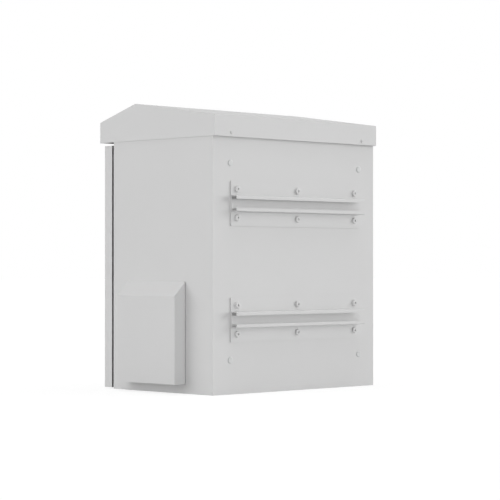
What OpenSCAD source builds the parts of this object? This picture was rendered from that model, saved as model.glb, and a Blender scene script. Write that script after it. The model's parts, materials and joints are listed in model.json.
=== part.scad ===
// Outdoor rack cabinet of folded sheet steel for 19-inch equipment, with a gable roof cap,
// rain hoods over its vents and two slotted rails on the back for pole clamps.
// Lengths are millimetres. The door faces -Y, the back wall faces +Y and the base is at Z = 0.

/* [Body] */
// Outside depth of the body, from the back wall to the front flange
body_d = 378.5; // [370:0.5:500]
// Height of the flat top under the roof
body_h = 690; // [680:1:800]
// Thickness of the painted sheet
sheet_t = 1.5; // [1:0.1:2]
// Width of the front flange, from the body's edge to the sealing lip
flange_w = 38; // [38:0.5:42]

/* [Door] */
// Gap between the front flange and the rim of the door
door_gap = 7.5; // [7:0.1:10]
// Depth of the door pan
door_t = 28.5; // [28:0.1:32]
// Height of the door's lower edge above the base
door_bottom = 3.5; // [2:0.1:8]
// Distance from the body's top down to the door's upper edge
door_head = 50; // [50:0.5:60]
// How far each side of the door stands inside the body's side
door_inset = 0.5; // [0.5:0.1:2]
// Thickness of the foam seal
seal_t = 9.7; // [8:0.1:11]
// Width of the foam seal
seal_w = 14; // [10:0.5:16]
// Width of the door's stiffening profiles
stiffener_w = 40; // [30:1:60]
// Depth of the door's stiffening profiles
stiffener_d = 15; // [8:0.5:16]
// Distance of each stiffening profile from the middle of the door
stiffener_x = 110; // [80:1:150]

/* [Hinges] */
// Diameter of the hinge pins
hinge_pin_d = 6; // [4:0.5:7]
// Outside diameter of the hinge knuckles
knuckle_d = 12; // [11:0.5:13]
// Distance of the hinge axis from the body's side
hinge_inset = 14; // [13.5:0.5:14.5]
// Distance of the hinge axis from the door's outer face
hinge_depth = 14.5; // [14:0.5:15]
// Height of the middle knuckle
knuckle_h = 24; // [16:1:30]
// Distance of each hinge from the end of the door
hinge_end = 115; // [80:1:180]
// Thickness of the hinge plates
hinge_t = 2.5; // [2:0.1:3]

/* [Locks] */
// Distance of the quarter-turn locks from the body's side
lock_inset = 75; // [70:1:90]
// Distance of each lock from the end of the door
lock_end = 177; // [120:1:230]
// Diameter of the lock's threaded barrel
lock_barrel_d = 22; // [20:0.5:26]
// Diameter of the turning spindle
spindle_d = 12; // [10:0.5:14]
// Length of the cam from the lock's axis
cam_l = 52; // [45:1:60]
// Width of the cam
cam_w = 18; // [16:1:22]
// Thickness of the cam
cam_t = 3; // [2:0.5:4]

/* [Roof] */
// Distance from the body's top down to the lower edge of the skirt
roof_drop = 42; // [40:1:44]
// Height of the skirt at the eaves
skirt_h = 54; // [50:1:80]
// Height of the ridge above the eaves
ridge_rise = 42.5; // [25:0.5:70]
// Distance of the ridge from the roof's back face
ridge_back = 300.5; // [200:0.5:320]
// Overhang beyond the back wall
roof_back = 9; // [7:0.5:20]
// Overhang beyond the door
roof_front = 16.5; // [10:0.5:40]
// Clearance between the skirt and the body's sides
roof_gap = 0.5; // [0.3:0.1:3]
// Width of the fold along the front skirt's lower edge
roof_hem = 12; // [6:0.5:13]
// Distance of the roof's fixing screws from the body's sides
roof_screw_inset = 56; // [40:1:70]
// Height of the roof's fixing screws above the skirt's lower edge
roof_screw_z = 10; // [8:0.5:14]
// Distance of the roof's supports from the body's sides
support_inset = 100; // [90:1:150]
// Thickness of the roof's supports and front straps
support_t = 2; // [1.5:0.1:3]

/* [Vent hoods] */
// Height of a hood on the wall
hood_h = 260.5; // [250:0.5:280]
// How far a hood stands out from the wall
hood_out = 38; // [30:0.5:50]
// Distance of the hoods from the back wall
hood_back = 100.5; // [80:0.5:110]
// Distance of the hoods from the front flange
hood_front = 57.5; // [50:0.5:70]
// Height of the intake hood's open lower end
intake_z = 24; // [20:0.5:40]
// Outer radius of the hood's bends
hood_bend = 3; // [2.5:0.5:5]
// Width of the hood's fixing flanges
hood_flange = 14; // [12:0.5:16]
// Height of the lower hood screws above the hood's open end
hood_screw_z = 100; // [90:1:120]
// Distance between the lower and the upper hood screws
hood_screw_pitch = 88; // [60:1:92]

/* [Intake filter] */
// Clearance of the filter and the fan from the rack carriers
vent_gap = 7; // [4:0.5:10]
// Number of air slots in the wall
air_slots = 8; // [4:1:8]
// Distance of the air slots from the sides of the filter's frame
air_slot_inset = 17; // [14:0.5:40]
// Height of an air slot
air_slot_h = 9; // [6:0.5:10]
// Distance between air slots
air_slot_pitch = 17; // [14:0.5:17]
// Distance of the filter's frame from the sides of the hood
filter_inset = 18.25; // [17:0.25:24]
// Height of the filter's frame
filter_h = 158; // [156:1:160]
// Depth of the filter's frame
filter_d = 20; // [16:0.5:30]
// Thickness of the filter mat
mat_t = 14; // [8:0.5:14]

/* [Fan] */
// Width of the square fan frame
fan_w = 119; // [116:1:125]
// Depth of the fan frame
fan_d = 25.5; // [25:0.5:38]
// Diameter of the fan's air passage
fan_bore_d = 113; // [100:1:114]
// Distance between the fan's screws
fan_pitch = 104.8; // [100:0.1:108]
// Number of fan blades
fan_blades = 7; // [5:1:9]
// Diameter of the rotor's hub
rotor_hub_d = 42; // [36:1:50]
// Diameter of the rotor's shaft
shaft_d = 4; // [3:0.5:6]

/* [Rack] */
// Height of one rack unit
rack_unit = 44.45; // [44.45]
// Clear width between the rack rails
rack_opening = 450; // [450]
// Distance of the rack holes from the rails' inner edges
rack_hole_inset = 7.55; // [7.55]
// Side of a square rack hole
rack_hole = 9.5; // [9:0.1:10]
// Distance of the rack rails behind the front flange
rail_setback = 45; // [30:1:70]
// Depth of the rack rails
rail_d = 40; // [30:1:60]
// Width of the rack rails' front face
rail_w = 27; // [24:1:30]
// Thickness of the rack rails and their carriers
rail_t = 2; // [1.5:0.1:2.5]
// Depth of the carriers, from a rack rail to the side wall
carrier_d = 46.5; // [44:0.5:60]
// Height of a carrier's channel
carrier_h = 30; // [26:1:34]
// Width of a carrier's welding brims
carrier_brim = 12; // [8:0.5:13]
// Distance of the carriers from the front flange and the back wall
carrier_end = 38; // [30:1:50]
// Height of the rail screws from the ends of the rails
rail_screw_end = 12; // [10:0.5:14]

/* [Pole brackets] */
// Distance of a bracket's ends from the body's sides
bracket_inset = 60; // [40:1:65]
// Height of a bracket plate
bracket_h = 114; // [105:1:130]
// Thickness of a bracket plate
bracket_t = 3; // [2:0.5:5]
// Height of the lower bracket's centre
bracket_foot = 187.5; // [170:0.5:200]
// Distance from the body's top down to the upper bracket's centre
bracket_head = 209.5; // [195:0.5:220]
// Height of the slotted rail
slot_rail_h = 41; // [36:1:45]
// Depth of the slotted rail
slot_rail_d = 21; // [16:0.5:41]
// Thickness of the slotted rail
slot_rail_t = 2; // [1.5:0.1:3]
// Width of the rail's slot
slot_w = 22; // [18:0.5:24]
// Distance of the outer bracket screws from the bracket's ends
bracket_screw_end = 21; // [15:1:40]
// Distance of the bracket screws from the bracket's upper and lower edges
bracket_screw_edge = 20.5; // [19:0.5:22]
// Diameter of the bracket screws
bracket_screw_d = 8; // [6:0.5:9]
// Diameter of the bracket screws' heads
bracket_head_d = 17; // [15:0.5:18]

/* [Wall plugs] */
// Distance of the wall plugs from the body's sides
plug_inset = 60; // [40:1:80]
// Height of the lower wall plugs
plug_foot = 86; // [70:1:100]
// Distance from the body's top down to the upper wall plugs
plug_head = 108; // [100:1:120]
// Diameter of the wall fixing holes
plug_hole_d = 10.6; // [8:0.1:12]
// Diameter of a plug's cap
plug_cap_d = 17; // [15:0.5:20]

/* [Cable entry] */
// Length of the opening in the floor
entry_w = 250; // [230:1:300]
// Depth of the opening in the floor
entry_d = 80; // [70:1:100]
// Distance of the opening's centre from the back wall
entry_back = 110; // [90:1:140]
// Width of the plate's border around the opening
entry_border = 22; // [18:0.5:30]
// Thickness of the plate's seal
entry_seal_t = 3; // [2:0.5:5]
// Thickness of the entry plate
entry_plate_t = 2; // [1.5:0.1:4]
// Number of cable grommets
grommets = 4; // [2:1:4]
// Distance between the cable grommets
grommet_pitch = 60; // [54:1:62]
// Diameter of the grommets' holes
grommet_hole_d = 40; // [30:1:42]

/* [Earth stud] */
// Diameter of the earth stud
earth_d = 8; // [6:1:10]
// Length of the earth stud
earth_l = 32; // [25:1:40]
// Distance of the earth stud from the right wall
earth_inset = 105; // [80:1:110]

/* [Hidden] */
$fn = 48;

// Fits: a screw in its hole, a pin or shaft in its bore, a seal or seat at rest, a cut past a face,
// and the length of a cutter that goes through any one sheet
hole_gap = 0.3;
running_gap = 0.05;
seat_gap = 0.3;
cut = 1;
through = 12;

paint = "#d2d3d3";
zinc = "#b4b8ba";
black = "#26282a";
grey_plastic = "#c8caca";
filter_white = "#e4e4de";
brass = "#b89a55";

// Faces of the body and the door
rail_x = rack_opening / 2;
rail_outer_x = rail_x + rail_w;
wall_x = rail_outer_x + carrier_d;
side_x = wall_x + sheet_t;
front_y = -body_d;
door_rim_y = front_y - door_gap;
door_face_y = door_rim_y - door_t;
door_back_y = door_face_y + sheet_t;
door_top = body_h - door_head;
door_x = side_x - door_inset;

// Sealing lip around the front opening
lip_x = side_x - flange_w;
lip_z0 = door_bottom + flange_w;
lip_z1 = door_top - flange_w;
lip_y = door_back_y + seal_t + seat_gap;

// Roof outline in Y and Z
roof_back_y = roof_back;
roof_front_y = door_face_y - roof_front;
roof_w = 2 * (side_x + roof_gap + sheet_t);
skirt_z = body_h - roof_drop;
eave_z = skirt_z + skirt_h;
ridge_z = eave_z + ridge_rise;
ridge_y = roof_back_y - ridge_back;
back_pitch = atan(ridge_rise / ridge_back);
front_pitch = atan(ridge_rise / (ridge_y - roof_front_y));
screw_z = skirt_z + roof_screw_z;
roof_screw_x = side_x - roof_screw_inset;
support_x = side_x - support_inset;
roof_screw_d = 5;
roof_head_d = 8.5;
roof_head_h = 2.2;
roof_spacer_d = 10.5;
roof_nut_w = 8;
roof_nut_h = 4;
strap_w = 30;
strap_seat = 30;
strap_tab_end = 6;
support_end = 8;
support_flange = 20;

// Reach of the whole cabinet, front to back, and the middle between
front_reach_y = roof_front_y - roof_head_h;
back_reach_y = max(roof_back_y + roof_head_h, bracket_t + slot_rail_d);
middle_y = (front_reach_y + back_reach_y) / 2;

// Rack
open_z0 = lip_z0 + sheet_t;
open_z1 = lip_z1 - sheet_t;
rack_units = floor((open_z1 - open_z0) / rack_unit);
rack_l = rack_units * rack_unit;
rack_z0 = (open_z0 + open_z1 - rack_l) / 2;
rack_hole_z = [6.35, 22.225, 38.1];
rail_y = front_y + rail_setback;
carrier_z = [rack_z0 + rail_screw_end, rack_z0 + rack_l - rail_screw_end];
rail_screw_d = 6;
rail_head_d = 12;
rail_head_h = 3.5;
rail_nut_w = 10;
rail_nut_h = 5;
rail_screw_y = rail_y + rail_d / 2;

// Vents
hood_w = body_d - hood_back - hood_front;
hood_y = -hood_back - hood_w / 2;
filter_w = hood_w - 2 * filter_inset;
air_slot_l = filter_w - 2 * air_slot_inset;
intake_vent_z = carrier_z[0] + carrier_h / 2 + carrier_brim + vent_gap + filter_h / 2;
exhaust_vent_z = carrier_z[1] - carrier_h / 2 - carrier_brim - vent_gap - fan_w / 2;
exhaust_z = exhaust_vent_z - intake_vent_z + intake_z;
hood_screw_d = 4;
hood_head_d = 8;
hood_head_h = 2.4;
filter_wall = 4;
filter_bar = 4;
filter_bar_pitch = 18;
mat_gap = 0.5;
guard_t = 1.5;
guard_ring = 2;
guard_rings = 4;
guard_centre_r = 10;
guard_bar = 3;
guard_ear_d = 10;
fan_screw_d = 4;
fan_head_d = 8;
fan_head_h = 2.6;
fan_corner = 5;
fan_arm_w = 5;
fan_arm_t = 4;
fan_seat_h = 8;
fan_seat_d = 40;
fan_seat_floor = 2;
blade_t = 1.6;
blade_r = 38;
blade_tilt = 38;
blade_tip_gap = 1.5;
blade_end_gap = 1;
blade_root = 6;
rotor_end_gap = 2;
rotor_gap = 0.6;

// Bracket and plug fixings
bracket_centres = [bracket_foot, body_h - bracket_head];
bracket_w = 2 * (side_x - bracket_inset);
bracket_screw_x = bracket_w / 2 - bracket_screw_end;
bracket_screw_z = bracket_h / 2 - bracket_screw_edge;
bracket_head_h = 5;
bracket_recess_d = 6;
bracket_nut_w = 13;
bracket_nut_h = 6.5;
thread_out = 2;
slot_rail_r = 3;
bracket_corner = 2;
plug_cap_h = 2;
plug_shank_l = 7;
plug_bevel = 1.2;
plug_slope = 2.4;

// Cable entry and earth stud
entry_y = -entry_back;
entry_plate_z = sheet_t + entry_seal_t;
entry_screw_d = 5;
entry_head_d = 9;
entry_head_h = 3;
grommet_lip = 4;
grommet_flange = 1.8;
grommet_wall = 2;
earth_foot_w = 13;
earth_foot_h = 6.5;

// Hinges and locks
hinge_x = -side_x + hinge_inset;
hinge_y = door_face_y + hinge_depth;
hinge_z = [door_bottom + hinge_end, door_top - hinge_end];
hinge_arm_t = 3;
hinge_leg_h = 50;
hinge_end_gap = 0.5;
knuckle_end_h = 18;
hinge_plate_end = 10;
hinge_plate_h = knuckle_h + 2 * (knuckle_end_h + hinge_end_gap + hinge_plate_end);
hinge_plate_w = 24;
pin_head_h = 2;
pin_head_d = 9;
lock_x = side_x - lock_inset;
lock_z = [door_bottom + lock_end, door_top - lock_end];
lock_flange_d = 32;
lock_flange_h = 3.5;
lock_barrel_l = 24;
lock_nut_w = 28;
lock_nut_h = 5;
lock_key_d = 7;
lock_key_depth = 4;
spindle_sink = 1;
collar_d = 17;
collar_h = 3;
cam_gap = 1.5;
cam_square = 8;
cam_square_gap = 0.1;
cam_y = front_y + sheet_t + cam_gap;
spindle_cap_h = 3;
spindle_cap_d = 14;
stiffener_brim = 10;

// A box between two opposite corners
module block(low, high) {
    translate(low) cube(high - low);
}

// A flat outline of Y and Z drawn out along X, or of X and Z drawn out along Y, about the middle
module along_x(length) {
    rotate([90, 0, 90]) linear_extrude(length, center = true) children();
}
module along_y(length) {
    rotate([90, 0, 0]) linear_extrude(length, center = true) children();
}

// Turns a piece drawn along +Z to point along +X, -X, +Y or -Y
module facing_right() { rotate([0, 90, 0]) children(); }
module facing_left() { rotate([0, -90, 0]) children(); }
module facing_back() { rotate([-90, 0, 0]) children(); }
module facing_front() { rotate([90, 0, 0]) children(); }

module both_sides() {
    children();
    mirror([1, 0, 0]) children();
}

module rounded_rect(size, r) {
    square([size.x - 2 * r, size.y], center = true);
    square([size.x, size.y - 2 * r], center = true);
    for (x = [-1, 1], y = [-1, 1])
        translate([x * (size.x / 2 - r), y * (size.y / 2 - r)]) circle(r);
}

module slot_shape(length, height) {
    square([length - height, height], center = true);
    for (side = [-1, 1]) translate([side * (length - height) / 2, 0]) circle(height / 2);
}

// A screw along Z with its head's seat at Z = 0 and its shank below
module pan_screw(d, length, head_d, head_h, recess_d) {
    bevel = head_h / 3;
    difference() {
        union() {
            translate([0, 0, -length]) cylinder(d = d, h = length + head_h / 2);
            cylinder(d = head_d, h = head_h - bevel);
            translate([0, 0, head_h - bevel])
                cylinder(d1 = head_d, d2 = head_d - 2 * bevel, h = bevel);
        }
        translate([0, 0, head_h / 2]) cylinder(d = recess_d, h = head_h, $fn = 6);
    }
}

// A hexagon nut along Z, from Z = 0 up
module hex_nut(d, across, height) {
    difference() {
        cylinder(d = across / cos(30), h = height, $fn = 6);
        translate([0, 0, -cut]) cylinder(d = d + 2 * running_gap, h = height + 2 * cut);
    }
}

module screw_hole(d, depth) {
    cylinder(d = d + 2 * hole_gap, h = depth, center = true);
}

// Places shared by the pieces that a fastener goes through
module at_bracket_screws(centre_z) {
    for (x = [-1, 0, 1], row = [-1, 1])
        translate([x * bracket_screw_x, 0, centre_z + row * bracket_screw_z]) children();
}

module at_wall_plugs() {
    for (x = [-1, 1], z = [plug_foot, body_h - plug_head])
        translate([x * (side_x - plug_inset), 0, z]) children();
}

module at_roof_screws(y) {
    for (x = [-1, 1]) translate([x * roof_screw_x, y, screw_z]) children();
}

module at_hood_screws(low_z) {
    for (side = [-1, 1], row = [0, 1])
        translate([0, hood_y + side * (hood_w / 2 - sheet_t - hood_flange / 2),
                   low_z + hood_screw_z + row * hood_screw_pitch]) children();
}

module at_fan_screws() {
    for (x = [-1, 1], y = [-1, 1]) translate([x * fan_pitch / 2, y * fan_pitch / 2, 0]) children();
}

module at_entry_screws() {
    for (x = [-1, 1], y = [-1, 1])
        translate([x * (entry_w + entry_border) / 2, entry_y + y * (entry_d + entry_border) / 2, 0])
            children();
}

module at_grommets() {
    for (i = [0 : grommets - 1])
        translate([(i - (grommets - 1) / 2) * grommet_pitch, entry_y, 0]) children();
}

module at_lock(z) {
    translate([lock_x, door_face_y, z]) facing_front() children();
}

// Puts a fan piece drawn along Z against the inside of the left wall
module at_fan() {
    translate([-wall_x, hood_y, exhaust_vent_z]) facing_right() children();
}

// Air slots in the right wall, and the fan's opening in the left wall
module intake_slots() {
    for (i = [0 : air_slots - 1])
        translate([side_x, hood_y, intake_vent_z + (i - (air_slots - 1) / 2) * air_slot_pitch])
            along_x(through) slot_shape(air_slot_l, air_slot_h);
}

module fan_opening() {
    at_fan() {
        cylinder(d = fan_bore_d, h = through, center = true);
        at_fan_screws() screw_hole(fan_screw_d, through);
    }
}

// The body is six sheets welded edge to edge. The side walls take up the full depth and height.
module side_wall() {
    block([wall_x, front_y, 0], [side_x, 0, body_h]);
}

module wall_right() {
    color(paint) difference() {
        side_wall();
        intake_slots();
        translate([side_x, 0, 0]) at_hood_screws(intake_z) facing_right()
            screw_hole(hood_screw_d, through);
    }
}

module wall_left() {
    color(paint) difference() {
        mirror([1, 0, 0]) side_wall();
        fan_opening();
        translate([-side_x, 0, 0]) at_hood_screws(exhaust_z) facing_right()
            screw_hole(hood_screw_d, through);
    }
}

module back_panel() {
    color(paint) difference() {
        block([-wall_x, -sheet_t, 0], [wall_x, 0, body_h]);
        for (z = bracket_centres) at_bracket_screws(z) facing_back()
            screw_hole(bracket_screw_d, through);
        at_wall_plugs() facing_back() cylinder(d = plug_hole_d, h = through, center = true);
        at_roof_screws(0) facing_back() screw_hole(roof_screw_d, through);
    }
}

module base_panel() {
    color(paint) difference() {
        block([-wall_x, front_y, 0], [wall_x, -sheet_t, sheet_t]);
        block([-entry_w / 2, entry_y - entry_d / 2, -cut],
              [entry_w / 2, entry_y + entry_d / 2, sheet_t + cut]);
        at_entry_screws() screw_hole(entry_screw_d, through);
    }
}

module top_panel() {
    color(paint) block([-wall_x, front_y, body_h - sheet_t], [wall_x, -sheet_t, body_h]);
}

// Front flange with a sealing lip that stands forward into the door
module front_frame() {
    color(paint) difference() {
        union() {
            block([-wall_x, front_y, sheet_t], [wall_x, front_y + sheet_t, body_h - sheet_t]);
            block([-lip_x, lip_y, lip_z0], [lip_x, front_y + sheet_t, lip_z1]);
        }
        block([-lip_x + sheet_t, lip_y - cut, open_z0],
              [lip_x - sheet_t, front_y + 2 * sheet_t, open_z1]);
    }
}

// Underside of the roof at a place along Y
function under_back(y) = ridge_z - (y - ridge_y) * tan(back_pitch) - sheet_t / cos(back_pitch);
function under_front(y) = ridge_z - (ridge_y - y) * tan(front_pitch) - sheet_t / cos(front_pitch);
function under_roof(y) = min(under_back(y), under_front(y));
under_ridge_y = ridge_y + sheet_t * (1 / cos(front_pitch) - 1 / cos(back_pitch))
    / (tan(back_pitch) + tan(front_pitch));

// Folded gable cap with a skirt all round and a hem along the front
module roof_cover() {
    inner_back = roof_back_y - sheet_t;
    inner_front = roof_front_y + sheet_t;
    color(paint) difference() {
        union() {
            difference() {
                along_x(roof_w) polygon([
                    [roof_back_y, skirt_z], [roof_back_y, eave_z], [ridge_y, ridge_z],
                    [roof_front_y, eave_z], [roof_front_y, skirt_z]]);
                along_x(roof_w - 2 * sheet_t) polygon([
                    [inner_back, skirt_z - cut], [inner_back, under_back(inner_back)],
                    [under_ridge_y, under_roof(under_ridge_y)],
                    [inner_front, under_front(inner_front)], [inner_front, skirt_z - cut]]);
            }
            block([-roof_w / 2, roof_front_y, skirt_z],
                  [roof_w / 2, roof_front_y + roof_hem, skirt_z + sheet_t]);
        }
        at_roof_screws(roof_back_y) facing_back() screw_hole(roof_screw_d, through);
        at_roof_screws(roof_front_y) facing_back() screw_hole(roof_screw_d, through);
    }
}

// Upright gable plate with a foot, which carries the slopes on the body's top
module roof_support(side) {
    y0 = front_y + support_end;
    y1 = -support_end;
    color(zinc) translate([side * support_x, 0, 0]) {
        along_x(support_t) polygon([
            [y0, body_h], [y1, body_h], [y1, under_roof(y1) - seat_gap],
            [under_ridge_y, under_roof(under_ridge_y) - seat_gap], [y0, under_roof(y0) - seat_gap]]);
        block([-support_t / 2, y0, body_h], [support_flange, y1, body_h + support_t]);
    }
}

// Straps on the body's top that reach forward and down behind the front skirt
module roof_straps() {
    tab_y = roof_front_y + sheet_t;
    tab_z = screw_z - strap_tab_end;
    color(zinc) difference() {
        for (x = [-1, 1]) translate([x * roof_screw_x, 0, 0]) {
            block([-strap_w / 2, tab_y, body_h], [strap_w / 2, front_y + strap_seat, body_h + support_t]);
            block([-strap_w / 2, tab_y, tab_z], [strap_w / 2, tab_y + support_t, body_h + support_t]);
        }
        at_roof_screws(tab_y) facing_back() screw_hole(roof_screw_d, through);
    }
}

module roof_spacers() {
    length = roof_back - sheet_t;
    color(zinc) at_roof_screws(0) facing_back() difference() {
        cylinder(d = roof_spacer_d, h = length);
        translate([0, 0, length / 2]) screw_hole(roof_screw_d, length + 2 * cut);
    }
}

module roof_screws() {
    back_l = roof_back + sheet_t + roof_nut_h + thread_out;
    front_l = sheet_t + support_t + roof_nut_h + thread_out;
    color(paint) {
        at_roof_screws(roof_back_y) facing_back()
            pan_screw(roof_screw_d, back_l, roof_head_d, roof_head_h, roof_screw_d / 2);
        at_roof_screws(roof_front_y) facing_front()
            pan_screw(roof_screw_d, front_l, roof_head_d, roof_head_h, roof_screw_d / 2);
    }
}

module roof_nuts() {
    color(zinc) {
        at_roof_screws(-sheet_t) facing_front() hex_nut(roof_screw_d, roof_nut_w, roof_nut_h);
        at_roof_screws(roof_front_y + sheet_t + support_t) facing_back()
            hex_nut(roof_screw_d, roof_nut_w, roof_nut_h);
    }
}

// A hood's solid form, drawn in from its outer faces: its outline from above cut off by the sloped top
module hood_form(inset, low) {
    top = hood_h - inset * sqrt(2);
    intersection() {
        translate([hood_out / 2, 0, low]) linear_extrude(hood_h + cut)
            rounded_rect([hood_out - 2 * inset, hood_w - 2 * inset], hood_bend - inset);
        along_y(hood_w + 2 * cut) polygon([
            [-cut, low - cut], [hood_out + cut, low - cut],
            [hood_out + cut, top - hood_out - cut], [-cut, top + cut]]);
    }
}

// Rain hood on the right wall, folded with round bends: a sloped top, an open lower end and wall flanges
module hood(low_z) {
    window_w = hood_w - 2 * (sheet_t + hood_flange);
    window_top = hood_h - sheet_t * sqrt(2) - hood_flange;
    color(paint) difference() {
        translate([side_x, hood_y, low_z]) difference() {
            hood_form(0, 0);
            hood_form(sheet_t, -cut);
            block([-cut, -window_w / 2, -cut], [sheet_t + cut, window_w / 2, window_top]);
        }
        translate([side_x, 0, 0]) at_hood_screws(low_z) facing_right()
            screw_hole(hood_screw_d, through);
    }
}
module intake_hood() { hood(intake_z); }
module exhaust_hood() { mirror([1, 0, 0]) hood(exhaust_z); }

module hood_screws() {
    length = 2 * sheet_t + thread_out;
    color(zinc) {
        translate([wall_x, 0, 0]) at_hood_screws(intake_z) facing_left()
            pan_screw(hood_screw_d, length, hood_head_d, hood_head_h, hood_screw_d / 2);
        translate([-wall_x, 0, 0]) at_hood_screws(exhaust_z) facing_right()
            pan_screw(hood_screw_d, length, hood_head_d, hood_head_h, hood_screw_d / 2);
    }
}

// Tray that holds the filter mat against the air slots, with bars across its back
module filter_frame() {
    bars = floor((filter_h - 2 * filter_wall) / filter_bar_pitch);
    color(black) translate([wall_x, hood_y, intake_vent_z]) {
        difference() {
            block([-filter_d, -filter_w / 2, -filter_h / 2], [0, filter_w / 2, filter_h / 2]);
            block([-filter_d - cut, -filter_w / 2 + filter_wall, -filter_h / 2 + filter_wall],
                  [cut, filter_w / 2 - filter_wall, filter_h / 2 - filter_wall]);
        }
        for (i = [0 : bars - 1]) translate([0, 0, (i - (bars - 1) / 2) * filter_bar_pitch])
            block([-filter_d, -filter_w / 2 + filter_wall / 2, -filter_bar / 2],
                  [-mat_t - mat_gap, filter_w / 2 - filter_wall / 2, filter_bar / 2]);
    }
}

module filter_mat() {
    edge = filter_wall + mat_gap;
    color(filter_white) translate([wall_x, hood_y, intake_vent_z])
        block([-mat_t, -filter_w / 2 + edge, -filter_h / 2 + edge],
              [0, filter_w / 2 - edge, filter_h / 2 - edge]);
}

// Square fan housing with a bearing seat on four arms
module fan_frame() {
    seat_z = fan_d - fan_seat_h;
    color(black) at_fan() difference() {
        union() {
            difference() {
                linear_extrude(fan_d) rounded_rect([fan_w, fan_w], fan_corner);
                translate([0, 0, -cut]) cylinder(d = fan_bore_d, h = fan_d + 2 * cut);
            }
            translate([0, 0, seat_z]) cylinder(d = fan_seat_d, h = fan_seat_h);
            for (turn = [0, 90]) rotate(turn)
                block([-fan_bore_d / 2 - cut, -fan_arm_w / 2, fan_d - fan_arm_t],
                      [fan_bore_d / 2 + cut, fan_arm_w / 2, fan_d]);
        }
        at_fan_screws() translate([0, 0, fan_d / 2]) screw_hole(fan_screw_d, fan_d + 2 * cut);
        translate([0, 0, seat_z - cut])
            cylinder(d = shaft_d + 2 * running_gap, h = fan_seat_h - fan_seat_floor + cut);
    }
}

// Hub, shaft and curved blades: each blade is a strip of a tube that lies along the radius
module fan_rotor() {
    hub_h = fan_d - fan_seat_h - rotor_gap - rotor_end_gap;
    shaft_l = fan_d - fan_seat_floor - rotor_gap - rotor_end_gap;
    tip_r = fan_bore_d / 2 - blade_tip_gap;
    color(black) at_fan() translate([0, 0, rotor_end_gap]) {
        cylinder(d = rotor_hub_d, h = hub_h);
        cylinder(d = shaft_d, h = shaft_l);
        for (i = [0 : fan_blades - 1]) rotate(i * 360 / fan_blades) intersection() {
            translate([0, 0, hub_h / 2]) rotate([blade_tilt, 0, 0]) translate([0, 0, -blade_r])
                facing_right() difference() {
                    cylinder(r = blade_r, h = tip_r + cut);
                    translate([0, 0, -cut]) cylinder(r = blade_r - blade_t, h = tip_r + 3 * cut);
                }
            translate([0, 0, blade_end_gap]) cylinder(r = tip_r, h = hub_h - 2 * blade_end_gap);
            block([rotor_hub_d / 2 - blade_root, -rotor_hub_d / 2, 0],
                  [tip_r + cut, rotor_hub_d / 2, hub_h]);
        }
    }
}

// Flat finger guard: rings, two bars and an ear at each screw
module fan_guard() {
    ring_step = (fan_bore_d / 2 - guard_centre_r) / guard_rings;
    color(zinc) at_fan() translate([0, 0, fan_d]) linear_extrude(guard_t) difference() {
        union() {
            for (i = [1 : guard_rings]) difference() {
                circle(fan_bore_d / 2 - (guard_rings - i) * ring_step);
                circle(fan_bore_d / 2 - (guard_rings - i) * ring_step - guard_ring);
            }
            for (turn = [45, 135]) rotate(turn)
                square([fan_pitch * sqrt(2), guard_bar], center = true);
            at_fan_screws() circle(d = guard_ear_d);
        }
        at_fan_screws() circle(d = fan_screw_d + 2 * hole_gap);
    }
}

module fan_screws() {
    length = guard_t + fan_d + sheet_t + thread_out;
    color(zinc) at_fan() at_fan_screws() translate([0, 0, fan_d + guard_t])
        pan_screw(fan_screw_d, length, fan_head_d, fan_head_h, fan_screw_d / 2);
}

// Right-hand rack rail: an angle with three square holes in every rack unit
module rack_rail() {
    color(zinc) difference() {
        block([rail_x, rail_y, rack_z0], [rail_outer_x, rail_y + rail_d, rack_z0 + rack_l]);
        block([rail_x - cut, rail_y + rail_t, rack_z0 - cut],
              [rail_outer_x - rail_t, rail_y + rail_d + cut, rack_z0 + rack_l + cut]);
        for (unit = [0 : rack_units - 1], z = rack_hole_z)
            translate([rail_x + rack_hole_inset, rail_y, rack_z0 + unit * rack_unit + z])
                cube([rack_hole, through, rack_hole], center = true);
        at_rail_screws() screw_hole(rail_screw_d, through);
    }
}
module rack_rail_right() { rack_rail(); }
module rack_rail_left() { mirror([1, 0, 0]) rack_rail(); }

module at_rail_screws() {
    for (z = carrier_z) translate([rail_outer_x, rail_screw_y, z]) facing_right() children();
}

// Right-hand carrier: a hat-shaped channel on the side wall with a long slot for the rail's screws
module rack_carrier(z) {
    length = body_d - 2 * carrier_end;
    color(zinc) translate([0, front_y / 2, z]) difference() {
        union() {
            block([rail_outer_x, -length / 2, -carrier_h / 2], [wall_x, length / 2, carrier_h / 2]);
            block([wall_x - rail_t, -length / 2, -carrier_h / 2 - carrier_brim],
                  [wall_x, length / 2, carrier_h / 2 + carrier_brim]);
        }
        block([rail_outer_x + rail_t, -length / 2 - cut, -carrier_h / 2 + rail_t],
              [wall_x + cut, length / 2 + cut, carrier_h / 2 - rail_t]);
        translate([rail_outer_x, 0, 0])
            along_x(through) slot_shape(length - 2 * carrier_brim, rail_screw_d + 2 * hole_gap);
    }
}
module carrier_lower_right() { rack_carrier(carrier_z[0]); }
module carrier_upper_right() { rack_carrier(carrier_z[1]); }
module carrier_lower_left() { mirror([1, 0, 0]) rack_carrier(carrier_z[0]); }
module carrier_upper_left() { mirror([1, 0, 0]) rack_carrier(carrier_z[1]); }

module rail_screws() {
    length = 2 * rail_t + rail_nut_h + thread_out;
    color(zinc) both_sides() at_rail_screws() translate([0, 0, -rail_t]) rotate([180, 0, 0])
        pan_screw(rail_screw_d, length, rail_head_d, rail_head_h, rail_screw_d / 2);
}

module rail_nuts() {
    color(zinc) both_sides() at_rail_screws() translate([0, 0, rail_t])
        hex_nut(rail_screw_d, rail_nut_w, rail_nut_h);
}

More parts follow.
